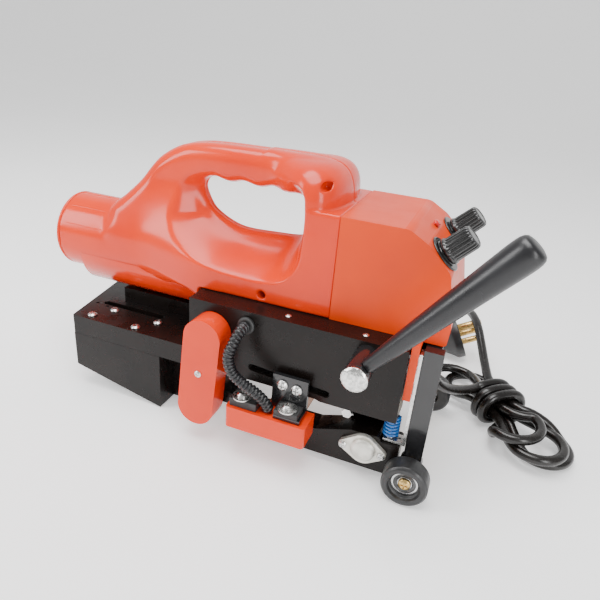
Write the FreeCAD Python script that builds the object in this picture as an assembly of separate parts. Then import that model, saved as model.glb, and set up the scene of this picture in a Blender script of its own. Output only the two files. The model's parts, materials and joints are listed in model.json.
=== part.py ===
"""Hand-guided hot-wedge welder for plastic sheet, one STEP file per separate piece.

Millimetres.  While it is drawn, X runs along the body from the motor end to the control end, Y runs away
from the drive side and Z runs up, from the top front corner of the main frame.  Every piece is moved at
the end so that the origin is the middle of the ground that the machine covers.
"""
import FreeCAD, Part
import math
import os

V = FreeCAD.Vector
OUT = "parts"

# Driving dimensions.
FLOOR = -129.5            # the ground, below the top face of the main frame
ORIGIN = V(43.6, 49.9, FLOOR)
TILT = math.radians(5.0)  # the drive line, the wedge and its slot all lean by this much
MID_Y = 72.5              # the plane where the two housing halves meet
FIT = 0.05                # running clearance on a radius
GAP = 0.3                 # clearance between curved faces that never touch
BEARING_R = 11.0          # 608 ball bearing: 22 mm outside, 8 mm bore, 7 mm wide
BEARING_W = 7.0
SHAFT_R = 4.0

FRAME_L = 188.0
CHEEK_T = 27.0
CHEEK_BOTTOM = -66.0
PLATE_T = 14.0
HOUSING_Y = (21.5, 123.5)
SEAM_X = 117.5
WALL = 3.0
BARREL_R = 37.5
BARREL_Z = 10.1
BARREL_X = (-168.0, -20.0)

GEAR_TEETH = 26
GEAR_MODULE = 1.0
SHAFT_SPACING = 26.2      # drive shaft to upper roller shaft
CHAIN_SPACING = 70.2      # drive shaft to lower roller shaft
ROLLER_R = 18.9
ROLLER_Y = (76.0, 116.0)

PIVOT_X = 165.4
PIVOT_Z = -100.8
WHEEL_X = 204.8
WHEEL_R = 19.1
NEAR_WHEEL_Y = (-18.0, 0.0)
FAR_WHEEL_Y = (122.0, 140.0)
LEVER_X = 157.0
LEVER_Z = -12.0
LEVER_ANGLE = math.radians(51.0)
LEVER_LENGTH = 151.0
CAM_OFFSET = 1.07
GRIP_Y = -27.0
KNOB_Y = (40.0, 103.0)
KNOB_X = 196.0
KNOB_Z = 67.0
CORD_R = 4.75
WEDGE_TRAVEL = 12.0       # from where it stands to where its edge is near the nip

DOWN_LINE = V(-math.sin(TILT), 0, -math.cos(TILT))
DRIVE = V(23.3, 0, -24.7)
UPPER = DRIVE + DOWN_LINE * SHAFT_SPACING
LOWER = DRIVE + DOWN_LINE * CHAIN_SPACING
NIP = UPPER + (LOWER - UPPER) * 0.5

nodes = {}
cord_nodes = set()
frame_screws = []


# Shapes that many pieces share.
def box(x, y, z):
    return Part.makeBox(x[1] - x[0], y[1] - y[0], z[1] - z[0], V(x[0], y[0], z[0]))


def rod_x(y, z, radius, x):
    return Part.makeCylinder(radius, x[1] - x[0], V(x[0], y, z), V(1, 0, 0))


def rod_y(at, radius, y):
    return Part.makeCylinder(radius, y[1] - y[0], V(at.x, y[0], at.z), V(0, 1, 0))


def rod_z(x, y, radius, z):
    return Part.makeCylinder(radius, z[1] - z[0], V(x, y, z[0]), V(0, 0, 1))


def ring_y(at, outer, inner, y):
    return rod_y(at, outer, y).cut(rod_y(at, inner, (y[0] - 1, y[1] + 1)))


def joined(shapes):
    """One solid from shapes that overlap."""
    shape = shapes[0].fuse(shapes[1:]) if len(shapes) > 1 else shapes[0]
    return shape.removeSplitter()


def outline(corners, place):
    """A closed wire through corners (u, v, radius), each rounded by its radius; place turns (u, v) into a point."""
    count = len(corners)
    ends = []
    for i, (u, v, radius) in enumerate(corners):
        here = V(u, v, 0)
        back = V(corners[i - 1][0], corners[i - 1][1], 0) - here
        ahead = V(corners[(i + 1) % count][0], corners[(i + 1) % count][1], 0) - here
        back.normalize()
        ahead.normalize()
        if radius <= 0:
            ends.append((here, None, here))
            continue
        half = back.getAngle(ahead) / 2
        reach = radius / math.tan(half)
        middle = back + ahead
        middle.normalize()
        centre = here + middle * (radius / math.sin(half))
        ends.append((here + back * reach, centre - middle * radius, here + ahead * reach))
    edges = []
    for i, (start, middle, end) in enumerate(ends):
        if middle:
            edges.append(Part.Arc(place(start), place(middle), place(end)).toShape())
        following = ends[(i + 1) % count][0]
        if (following - end).Length > 1e-6:
            edges.append(Part.LineSegment(place(end), place(following)).toShape())
    return Part.Wire(edges)


def side_face(corners):
    """A face in the XZ plane, from corners (x, z, radius)."""
    return Part.Face(outline(corners, lambda p: V(p.x, 0, p.y)))


def across(face, y):
    """A side face pushed through from y[0] to y[1]."""
    solid = face.extrude(V(0, y[1] - y[0], 0))
    solid.translate(V(0, y[0], 0))
    return solid


def side_plate(corners, y):
    return across(side_face(corners), y)


def plan_plate(corners, z):
    """A plate from corners (x, y, radius), from z[0] up to z[1]."""
    face = Part.Face(outline(corners, lambda p: V(p.x, p.y, z[0])))
    return face.extrude(V(0, 0, z[1] - z[0]))


def end_prism(corners, x):
    """A bar along X from corners (y, z, radius)."""
    face = Part.Face(outline(corners, lambda p: V(x[0], p.x, p.y)))
    return face.extrude(V(x[1] - x[0], 0, 0))


def end_section(x, y, z, radius):
    """A rounded rectangle that faces along X, for a loft."""
    corners = [(y[0], z[0], radius), (y[1], z[0], radius), (y[1], z[1], radius), (y[0], z[1], radius)]
    return outline(corners, lambda p: V(x, p.x, p.y))


def turned(profile, at, axis):
    """A solid of revolution from (radius, distance along the axis) corners."""
    points = [V(r, 0, d) for r, d in profile]
    face = Part.Face(Part.makePolygon(points + points[:1]))
    solid = face.revolve(V(0, 0, 0), V(0, 0, 1), 360)
    solid.Placement = FreeCAD.Placement(at, FreeCAD.Rotation(V(0, 0, 1), axis))
    return solid


def spur_gear(at, y, bore, phase):
    """A spur gear with straight-sided teeth; a tooth points along phase, in degrees from +X towards +Z."""
    pitch_r = GEAR_TEETH * GEAR_MODULE / 2
    step = 2 * math.pi / GEAR_TEETH
    flank = ((pitch_r - 1.2, 0.30), (pitch_r, 0.225), (pitch_r + 0.85, 0.11))
    points = []
    for tooth in range(GEAR_TEETH):
        middle = math.radians(phase) + tooth * step
        for radius, width in flank:
            points.append((radius, middle - width * step))
        for radius, width in reversed(flank):
            points.append((radius, middle + width * step))
    corners = [(at.x + r * math.cos(a), at.z + r * math.sin(a), 0) for r, a in points]
    return side_plate(corners, y).cut(rod_y(at, bore, (y[0] - 1, y[1] + 1)))


def sprocket(at, y, bore):
    """A nine-tooth sprocket for quarter-inch roller chain."""
    teeth = 9
    points = []
    for tooth in range(teeth):
        middle = 2 * math.pi * (tooth + 0.5) / teeth
        for radius, offset in ((6.3, -0.30), (8.7, -0.10), (8.7, 0.10), (6.3, 0.30)):
            angle = middle + offset * 2 * math.pi / teeth
            points.append((at.x + radius * math.cos(angle), at.z + radius * math.sin(angle), 0))
    return side_plate(points, y).cut(rod_y(at, bore, (y[0] - 1, y[1] + 1)))


def stadium(top, bottom, radius, y):
    """A plate with round ends about two centres."""
    along = top - bottom
    along.normalize()
    side = V(along.z, 0, -along.x) * radius
    points = [top + side, top + along * radius, top - side, bottom - side, bottom - along * radius, bottom + side]
    edges = [
        Part.Arc(points[0], points[1], points[2]).toShape(),
        Part.LineSegment(points[2], points[3]).toShape(),
        Part.Arc(points[3], points[4], points[5]).toShape(),
        Part.LineSegment(points[5], points[0]).toShape(),
    ]
    return across(Part.Face(Part.Wire(edges)), y)


def cross_screw(at, axis, head_r, head_h, shank_r, length):
    """A pan-head screw whose head sits on the face at 'at' and stands out along axis."""
    profile = [(0, -length), (shank_r, -length), (shank_r, 0), (head_r, 0)]
    profile += [(head_r, head_h * 0.45), (head_r * 0.62, head_h), (0, head_h)]
    screw = turned(profile, at, axis)
    long, short = head_r * 0.55, head_r * 0.11
    slot = box((-long, long), (-short, short), (head_h * 0.45, head_h + 1))
    slot = slot.fuse(box((-short, short), (-long, long), (head_h * 0.45, head_h + 1)))
    slot.Placement = FreeCAD.Placement(at, FreeCAD.Rotation(V(0, 0, 1), axis))
    return screw.cut(slot)


def routed_tube(points, radius, name):
    """A tube along straight runs joined by tangent arcs that are as large as the runs allow."""
    ends = [(points[0], None, points[0])]
    radii = []
    for before, here, after in zip(points, points[1:], points[2:]):
        back = before - here
        ahead = after - here
        shorter = min(back.Length, ahead.Length)
        back.normalize()
        ahead.normalize()
        half = back.getAngle(ahead) / 2
        reach = 0.45 * shorter
        bend = reach * math.tan(half)
        radii.append(bend)
        middle = back + ahead
        middle.normalize()
        centre = here + middle * (bend / math.sin(half))
        ends.append((here + back * reach, centre - middle * bend, here + ahead * reach))
    ends.append((points[-1], None, points[-1]))
    edges = []
    for (start, middle, end), following in zip(ends, ends[1:] + [None]):
        if middle:
            edges.append(Part.Arc(start, middle, end).toShape())
        if following:
            edges.append(Part.LineSegment(end, following[0]).toShape())
    path = Part.Wire(edges)
    first = points[1] - points[0]
    first.normalize()
    section = Part.Wire(Part.makeCircle(radius, points[0], first))
    tube = path.makePipeShell([section], True, True)
    expected = math.pi * radius ** 2 * path.Length
    print(name, "length %.0f mm, tightest radius %.1f mm, volume %.3f of section times length"
          % (path.Length, min(radii), tube.Volume / expected))
    return tube


def keep(name, shapes, cord=False):
    """Files one node: a single solid, or identical pieces as a group."""
    shapes = shapes if isinstance(shapes, list) else [shapes]
    solids = [solid for shape in shapes for solid in shape.Solids]
    for solid in solids:
        if not solid.isValid() or not solid.isClosed() or solid.Volume <= 0:
            print("BAD SOLID in", name, solid.isValid(), solid.isClosed(), solid.Volume)
    nodes[name] = Part.makeCompound(solids) if len(solids) > 1 else solids[0]
    if cord:
        cord_nodes.add(name)


# The frame: a top plate with one thick cheek on the drive side, open on the far side.
def make_frame():
    plate = box((0, FRAME_L), (0, HOUSING_Y[1]), (-PLATE_T, 0))
    cheek = side_plate([(0, -1, 0), (FRAME_L, -1, 0), (FRAME_L, CHEEK_BOTTOM, 0), (124, CHEEK_BOTTOM, 0),
                        (119, CHEEK_BOTTOM + 1.5, 0), (0, CHEEK_BOTTOM + 1.5, 0)], (0, CHEEK_T))
    tail = box((FRAME_L - 1, 198), (22, 62), (-PLATE_T, -5))
    frame = joined([plate, cheek, tail])
    for centre in (DRIVE, UPPER):
        frame = frame.cut(rod_y(centre, BEARING_R, (-1, CHEEK_T + 1)))
    frame = frame.cut(box((-1, 52), (CHEEK_T, 75), (-PLATE_T - 1, 1)))
    slot = side_plate([(-37, -3.3, 3.25), (37, -3.3, 3.25), (37, 3.3, 3.25), (-37, 3.3, 3.25)], (-1, CHEEK_T + 1))
    slot.rotate(V(0, 0, 0), V(0, 1, 0), math.degrees(TILT))
    slot.translate(V(94.5, 0, -54.2))
    frame = frame.cut(slot)
    frame = frame.cut(rod_y(V(LEVER_X, 0, LEVER_Z), 6 + FIT, (-1, CHEEK_T + 1)))
    frame = frame.cut(box((LEVER_X - 14, LEVER_X + 14), (CHEEK_T, 35), (-PLATE_T - 1, -1)))
    frame = frame.cut(rod_z(SPRING.x, SPRING.y, 3.5, (CHEEK_BOTTOM - 1, -44)))
    frame = frame.cut(rod_y(GLAND, 4.8, (-1, 12)))
    for x, y in TOP_SCREWS:
        frame = frame.cut(rod_z(x, y, 1.2, (-5, 1)))
    keep("main_frame", frame)

    plate = plan_plate([(-133, 6, 1), (0, 6, 0), (0, 116, 0), (-151.5, 116, 1)], (-72.3, -53))
    slot = plan_plate([(-125, 39.5, 3.4), (-55, 39.5, 3.4), (-55, 46.5, 3.4), (-125, 46.5, 3.4)], (-73, -52))
    plate = plate.cut(slot)
    for x, y in ((-130, 38.4), (-117, 36.6)):
        plate = plate.cut(rod_z(x, y, 1.7, (-62, -52)))
    column = side_plate([(-133, -72.5, 0), (-36, -72.5, 0), (-36, FLOOR, 1), (-133, -108, 1)], (6, 37.5))
    guide = side_plate([(-131, -80.5, 2), (-12, -80.5, 3), (-12, FLOOR, 2), (-36, FLOOR, 0),
                        (-131, -108.6, 2)], (30, 116))
    block = joined([column, guide])
    spots = ((-116.5, 14.1), (-104.5, 32.4), (-66.4, 13.3), (-53.7, 31.1))
    for x, y in spots:
        plate = plate.cut(rod_z(x, y, 2.6, (-73, -52)))
        block = block.cut(rod_z(x, y, 2.6, (-92, -72)))
    saddle = box((-110, -6), (56, 89), (-53.5, -38))
    keep("nose_plate", joined([plate, saddle]))
    keep("nose_block", block)
    frame_screws.extend(cross_screw(V(x, y, -53), V(0, 0, 1), 4.3, 2.4, 2.5, 36) for x, y in spots)
    frame_screws.extend(cross_screw(V(x, y, 0), V(0, 0, 1), 2.6, 1.0, 1.2, 5) for x, y in TOP_SCREWS)


# The orange housing: two moulded halves with a hand opening, a barrel for the motor and a control box.
def housing_form(inset):
    """The housing as a full body; inset shrinks it, which gives its hollow."""
    hoop = side_face([(-112, 25, 0), (-112, 50, 6), (-46, 118.5, 40), (95, 118.5, 26), (SEAM_X, 92, 0),
                      (SEAM_X, 25, 0)])
    opening = side_face([(-27, 37, 33), (-27, 85, 10), (73, 85, 8), (73, 37, 5)])
    face = hoop.cut(opening).Faces[0]
    if inset:
        face = face.makeOffset2D(-inset)
    low, high = HOUSING_Y[0] + inset, HOUSING_Y[1] - inset
    grip_y = (MID_Y - 20 + inset, MID_Y + 20 - inset)
    arch = across(face, (low, high))
    crown = 118.5 - inset
    waist = end_prism([(36 + inset, 8, 0), (109 - inset, 8, 0), (grip_y[1], 100, 0), (grip_y[1] - 9, crown, 7),
                       (grip_y[0] + 9, crown, 7), (grip_y[0], 100, 0)], (-112 + inset, 74))
    dome = end_prism([(low, 8, 0), (high, 8, 0), (high, 84, 4), (grip_y[1] + 3, crown, 12),
                      (grip_y[0] - 3, crown, 12), (low, 84, 4)], (73, SEAM_X + 1))
    arch = arch.common(waist.fuse(dome))
    end = SEAM_X if not inset else SEAM_X + 2
    floor = inset + 0.2
    base = box((0, end), (low, high), (floor, 16 - inset * 0.5))
    leg = box((74 + inset, end), (low, high), (floor, 86.3 - inset))
    saddle = end_prism([(low, 15.5 - inset, 0), (high, 15.5 - inset, 0), (grip_y[1], 37 - inset, 0),
                        (grip_y[0], 37 - inset, 0)], (0, 80))
    near = end_section(0.5, (low, high), (floor, 37 - inset), 14)
    barrel_r = BARREL_R - inset
    round_y = (MID_Y - barrel_r, MID_Y + barrel_r)
    far = end_section(-78, round_y, (BARREL_Z - barrel_r, BARREL_Z + barrel_r), barrel_r - 1)
    funnel = Part.makeLoft([far, near], True, True)
    barrel = rod_x(MID_Y, BARREL_Z, barrel_r, (BARREL_X[0] - inset, BARREL_X[1] - 30))
    return joined([barrel, funnel, base, saddle, leg, arch])


def make_housing():
    shell = housing_form(0).cut(housing_form(WALL))
    shell = shell.cut(rod_x(MID_Y, BARREL_Z, 31.5, (-80, -28)))
    posts = ((100.5, 104.0), (56.0, 6.5))
    for x, z in posts:
        at = V(x, 0, z)
        shell = shell.fuse(rod_y(at, 6, (MID_Y - 24, MID_Y + 24)).common(housing_form(0)))
    for x, z in posts:
        at = V(x, 0, z)
        shell = shell.cut(rod_y(at, 3.6, (20, MID_Y - 14)))
        shell = shell.cut(rod_y(at, 1.7, (20, MID_Y + 18)))
    window = box((-40, 52), (44, 75), (-30, 12.5))
    shell = shell.cut(window).removeSplitter()
    front = shell.common(box((-200, 200), (0, MID_Y), (-60, 140)))
    rear = shell.common(box((-200, 200), (MID_Y, 140), (-60, 140)))
    keep("handle_shell_front", max(front.Solids, key=lambda s: s.Volume))
    keep("handle_shell_rear", max(rear.Solids, key=lambda s: s.Volume))
    frame_screws.extend(cross_screw(V(x, MID_Y - 14, z), V(0, -1, 0), 3.3, 2.0, 1.6, 28) for x, z in posts)

    lobe_z = -1.6
    lobe = rod_x(MID_Y, lobe_z, 36, (-144, -5)).common(box((-144, 0), (30, 115), (-38, 20)))
    lobe = lobe.cut(rod_x(MID_Y, lobe_z, 33.5, (-141.5, -7.5)).common(box((-142, -2), (30, 115), (-35.5, 40))))
    lobe = lobe.cut(rod_x(MID_Y, BARREL_Z, BARREL_R + GAP, (-145, -49)))
    lobe = lobe.cut(rod_x(WORM.y, WORM.z, 5, (-8, -4)))
    lobe = lobe.cut(housing_form(0))
    lobe = max(lobe.Solids, key=lambda s: s.Volume)
    keep("lower_motor_cover", lobe)

    cap = rod_x(MID_Y, BARREL_Z, BARREL_R, (-171, -168)).fuse(rod_x(MID_Y, BARREL_Z, 34.3, (-168, -164)))
    cap = cap.cut(rod_x(MID_Y, BARREL_Z, 31, (-169, -163)))
    for i in range(5):
        z = BARREL_Z + (i - 2) * 8
        half = math.sqrt(27 ** 2 - ((i - 2) * 8) ** 2) - 3
        cap = cap.cut(box((-172, -167), (MID_Y - half, MID_Y + half), (z - 1.5, z + 1.5)))
    keep("motor_end_cap", cap)


def make_control_box():
    start = SEAM_X + 0.2
    outer = side_plate([(start, 0.2, 0), (212, 0.2, 3), (213, 16, 12), (205, 58, 12), (186, 77, 12),
                        (170, 86.3, 14), (start, 86.3, 0)], HOUSING_Y)
    inner = side_plate([(110, -1, 0), (FRAME_L - 2, -1, 0), (FRAME_L - 2, 3.2, 0), (209, 3.2, 0), (210, 16, 9),
                        (202.4, 56.5, 9), (184.6, 74.2, 9), (169, 83.3, 11), (110, 83.3, 0)],
                       (HOUSING_Y[0] + WALL, HOUSING_Y[1] - WALL))
    shell = outer.cut(inner)
    tongue = box((189, 195), (4, 8.5), (-45, 5)).fuse(box((189, 195), (4, 30), (0.2, 4)))
    shell = shell.fuse(tongue.cut(inner)).removeSplitter()
    for y in KNOB_Y:
        shell = shell.cut(Part.makeCylinder(3.6, 20, V(KNOB_X, y, KNOB_Z) - PANEL * 12, PANEL))
    shell = shell.cut(Part.makeCylinder(2.6, 20, LAMP - PANEL * 12, PANEL))
    shell = shell.cut(rod_z(CORD_EXIT.x, CORD_EXIT.y, 6.0, (-1, 6)))
    shell = shell.cut(box((140, 158), (HOUSING_Y[1] - 5, HOUSING_Y[1] + 1), (30, 55)))
    keep("control_box_shell", max(shell.Solids, key=lambda s: s.Volume))

    dials = []
    for y in KNOB_Y:
        at = V(KNOB_X, y, KNOB_Z)
        dials.append(turned([(3.6, 0), (15, 0), (15, 0.9), (14.2, 1.5), (10.5, 1.5), (10, 2.3), (3.6, 2.3)],
                            at + PANEL * 0.1, PANEL))
    keep("dial_plates", dials)
    board = [box((124, 182), (34, 106), (14, 15.6))]
    for y in KNOB_Y:
        at = V(KNOB_X, y, KNOB_Z)
        board.append(turned([(3.1, -12), (8, -12), (8, -3.4), (3.5, -3.4), (3.5, 2.0), (3.1, 2.0)], at, PANEL))
    for name, y in (("speed", KNOB_Y[0]), ("temperature", KNOB_Y[1])):
        at = V(KNOB_X, y, KNOB_Z)
        knob = turned([(0, -11), (3.0, -11), (3.0, 3), (9.6, 3), (9.6, 5), (9.0, 5.5), (8.7, 24.5), (7.8, 26),
                       (0, 26)], at, PANEL)
        keep(name + "_knob", knob)
    keep("indicator_lamp", turned([(0, -8), (2.5, -8), (2.5, 0.2), (3.4, 0.2), (3.4, 1.0), (2.2, 2.2), (0, 2.6)],
                                  LAMP, PANEL))
    board += [box((128, 146), (40, 60), (15.6, 32)), box((150, 170), (42, 70), (15.6, 24)),
              rod_z(136, 78, 7, (15.6, 40)), rod_z(136, 96, 7, (15.6, 40)), box((152, 178), (84, 106), (15.6, 42))]
    keep("control_board", board)
    body = box((140.2, 157.8), (HOUSING_Y[1] - 16, HOUSING_Y[1]), (30.2, 54.8))
    body = body.fuse(box((138, 160), (HOUSING_Y[1], HOUSING_Y[1] + 1.5), (28, 57)))
    body = body.cut(box((142, 156), (HOUSING_Y[1] - 11, HOUSING_Y[1] + 2), (32, 53)))
    keep("power_switch_body", body)
    rocker = Part.makeCylinder(15.5, 13, V(142.5, HOUSING_Y[1] - 12, 42.5), V(1, 0, 0))
    rocker = rocker.common(box((142, 156), (HOUSING_Y[1] - 4.5, HOUSING_Y[1] + 6), (35, 50)))
    keep("power_switch_rocker", rocker)


# The drive: gearmotor, worm stage, spur pair, chain and the two press rollers.
def make_drive():
    can = rod_x(MID_Y, BARREL_Z, 30, (-160, -60)).cut(rod_x(MID_Y, BARREL_Z, 27, (-157, -63)))
    keep("motor_can", can.cut(rod_x(MID_Y, BARREL_Z, SHAFT_R + FIT, (-158, -59))))
    armature = [rod_x(MID_Y, BARREL_Z, SHAFT_R, (-157.5, -52.5)), rod_x(MID_Y, BARREL_Z, 20, (-140, -82)),
                rod_x(MID_Y, BARREL_Z, 10, (-154, -142))]
    keep("motor_armature", joined(armature))
    head = rod_x(MID_Y, BARREL_Z, 31, (-60, -30)).cut(rod_x(MID_Y, BARREL_Z, 5, (-61, -52)))
    head = head.cut(rod_x(WORM.y, WORM.z, SHAFT_R + FIT, (-40, -29)))
    keep("offset_gearhead", head)
    keep("worm_shaft", rod_x(WORM.y, WORM.z, SHAFT_R, (-39, 47)).fuse(rod_x(WORM.y, WORM.z, 8.4, (7, 40))))

    case = box((-4, 50), (44.5, 74.5), (-45.5, 12)).cut(box((-1, 47), (47.5, 71.5), (-42.5, 10)))
    case = case.cut(rod_y(DRIVE, SHAFT_R + FIT, (40, 80))).cut(rod_x(WORM.y, WORM.z, SHAFT_R + FIT, (-10, 60)))
    keep("worm_gearbox_case", case)
    keep("drive_shaft", joined([rod_y(DRIVE, SHAFT_R, (-15, 74.3)), sprocket(DRIVE, (-12.5, -8.5), SHAFT_R)]))
    wheel = turned([(SHAFT_R, 0), (17.2, 0), (16.6, 3), (16.6, 6), (17.2, 9), (SHAFT_R, 9)],
                   V(DRIVE.x, 54.5, DRIVE.z), V(0, 1, 0))
    keep("worm_wheel", wheel)
    keep("lower_sprocket", sprocket(LOWER, (-12.5, -8.5), SHAFT_R))
    toward = math.degrees(math.atan2(DOWN_LINE.z, DOWN_LINE.x))
    keep("drive_gear", spur_gear(DRIVE, (29, 37), SHAFT_R, toward))
    keep("roller_gear", spur_gear(UPPER, (29.5, 36.5), SHAFT_R, toward + 180 + 180 / GEAR_TEETH))
    bearings = [ring_y(at, BEARING_R, SHAFT_R + FIT, (y, y + BEARING_W)) for at in (DRIVE, UPPER) for y in (2, 18)]
    keep("frame_bearings", bearings)
    bearings = [ring_y(LOWER, BEARING_R, SHAFT_R + FIT, (y, y + BEARING_W)) for y in (5.5, 19.5)]
    keep("arm_bearings", bearings)
    for name, at, start in (("upper_roller", UPPER, 1), ("lower_roller", LOWER, -15)):
        middle = (ROLLER_Y[1] - ROLLER_Y[0]) / 2
        top = ROLLER_Y[1] - ROLLER_Y[0]
        roller = turned([(SHAFT_R, 0), (ROLLER_R, 0), (ROLLER_R, middle - 6), (ROLLER_R - 2.5, middle - 6),
                         (ROLLER_R - 2.5, middle + 6), (ROLLER_R, middle + 6), (ROLLER_R, top), (SHAFT_R, top)],
                        V(at.x, ROLLER_Y[0], at.z), V(0, 1, 0))
        keep(name, joined([roller, rod_y(at, SHAFT_R, (start, ROLLER_Y[1]))]))
    chain = stadium(DRIVE, LOWER, 13.2, (-14, -7)).cut(stadium(DRIVE, LOWER, 9.6, (-15, -6)))
    keep("drive_chain", chain)
    cover = stadium(DRIVE, LOWER, 17.0, (-20, -GAP)).cut(stadium(DRIVE, LOWER, 14.6, (-17.6, 1)))
    middle = DRIVE + (LOWER - DRIVE) * 0.49
    post = rod_y(middle, 4, (-18, -GAP))
    cover = cover.fuse(post).cut(rod_y(middle, 1.7, (-21, 1)))
    keep("chain_cover", cover)
    frame_screws.append(cross_screw(V(middle.x, -20, middle.z), V(0, -1, 0), 3.1, 1.6, 1.5, 19.5))


# The press arm, the lever that closes it and the spring between them.
def make_press():
    arm = side_plate([(48, -88, 2), (58, -98, 2), (121, -98, 4), (152, -88, 6), (176, -87, 3), (178.5, -91.6, 0),
                      (194, -91.6, 2), (194, -122.5, 3), (66, -122.5, 14), (46, -99.5, 4), (LOWER.x, -99.5, 0),
                      (LOWER.x, -88, 0)], (5, CHEEK_T))
    arm = joined([arm, rod_y(LOWER, 13, (5, CHEEK_T))])
    arm = arm.cut(rod_y(LOWER, BEARING_R, (4, CHEEK_T + 1)))
    pivot = V(PIVOT_X, 0, PIVOT_Z)
    arm = arm.cut(rod_y(pivot, 5 + FIT, (4, CHEEK_T + 1)))
    screws = (V(147.7, 1, -101.8), V(181.0, 1, -102.7))
    for at in screws:
        arm = arm.cut(rod_y(at, 2.0, (4, 18)))
    keep("press_arm", arm)
    flange = side_plate([(140.5, -101.6, 4.5), (PIVOT_X, -84.5, 12), (188, -102.6, 4.5), (PIVOT_X, -117.2, 12)],
                        (1, 5))
    dome = turned([(0, 0), (10.5, 0), (10.5, 2), (8.8, 3.6), (5, 4.6), (0, 5)], V(PIVOT_X, 1.2, PIVOT_Z), V(0, -1, 0))
    flange = flange.fuse(dome)
    flange = flange.cut(rod_y(pivot, 5 + FIT, (0.5, 6)))
    for at in screws:
        flange = flange.cut(rod_y(at, 2.1, (0, 6)))
    keep("pivot_flange", flange)
    keep("flange_screws", [cross_screw(at, V(0, -1, 0), 3.4, 1.8, 2.0, 16) for at in screws])
    bracket = side_plate([(139, -PLATE_T, 0), (181, -PLATE_T, 0), (181, -105, 6), (172, -112, 6), (158, -112, 6),
                          (139, -84, 6)], (35.5, 39.5))
    keep("pivot_bracket", joined([bracket, rod_y(pivot, 5, (1.5, 36))]))
    nut = side_plate([(145.5 + 4.6 * math.cos(math.pi / 3 * i), -77 + 4.6 * math.sin(math.pi / 3 * i), 0)
                      for i in range(6)], (10, 14))
    frame_screws.append(joined([nut, rod_y(V(145.5, 0, -77), 2.5, (13, 35.5))]))

    axis = V(LEVER_X, 0, LEVER_Z)
    cam = rod_y(axis + V(CAM_OFFSET, 0, 0), 9, (29.5, 34.5))
    hub = rod_y(axis, 10, (-36, -0.3))
    grip_way = V(math.cos(LEVER_ANGLE), 0, math.sin(LEVER_ANGLE))
    hub = joined([hub, rod_y(axis, 6, (-30, 29.6)), cam])
    start = axis + V(0, GRIP_Y, 0)
    keep("lever_shaft", hub.cut(Part.makeCylinder(3, 12, start + grip_way * 6.2, grip_way)))
    cap = turned([(0, 0), (10.2, 0), (10.2, 1.4), (8.6, 2.8), (5, 3.8), (0, 4.2)], axis + V(0, -36, 0), V(0, -1, 0))
    keep("lever_cap", cap)
    grip = turned([(0, 10.6), (5.6, 10.6), (5.9, 20), (11, 132), (10.9, 144), (9.3, 148.8), (6, LEVER_LENGTH),
                   (0, LEVER_LENGTH)], start, grip_way)
    neck = turned([(0, 6.2), (3, 6.2), (3, 10.7), (0, 10.7)], start, grip_way)
    keep("lever_grip", grip.fuse(neck))

    top = -21 - 0.35
    strap = box((195.3, 197.7), (8, 19), (-91, -4)).fuse(box((SPRING.x - 5, 197.7), (8, 19), (-91, -88.6)))
    strap = strap.fuse(box((195.3, 197.7), (8, 34.5), (-38, -24)))
    strap = strap.fuse(box((LEVER_X - 9, 197.7), (30, 34.5), (-34, -24)))
    strap = strap.fuse(box((LEVER_X - 9, LEVER_X + 9), (30, 34.5), (-30, top)))
    strap = strap.cut(rod_z(192, 13.5, 1.3, (-92, -88)))
    strap = strap.fuse(rod_z(SPRING.x, SPRING.y, 3.0, (-90, -50)))
    keep("spring_strap", strap.removeSplitter())
    keep("pressure_spring", spring_form())


def spring_form():
    """The die spring as a fluted sleeve: flat rings on a thin core."""
    low, high = -88.3, CHEEK_BOTTOM - 0.1
    count = 6
    pitch = (high - low) / count
    profile = [(4.8, low)]
    for i in range(count):
        start = low + i * pitch
        profile += [(6.9, start), (6.9, start + pitch * 0.62), (5.9, start + pitch * 0.62), (5.9, start + pitch)]
    profile += [(4.8, high)]
    return turned(profile, V(SPRING.x, SPRING.y, 0), V(0, 0, 1))


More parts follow.
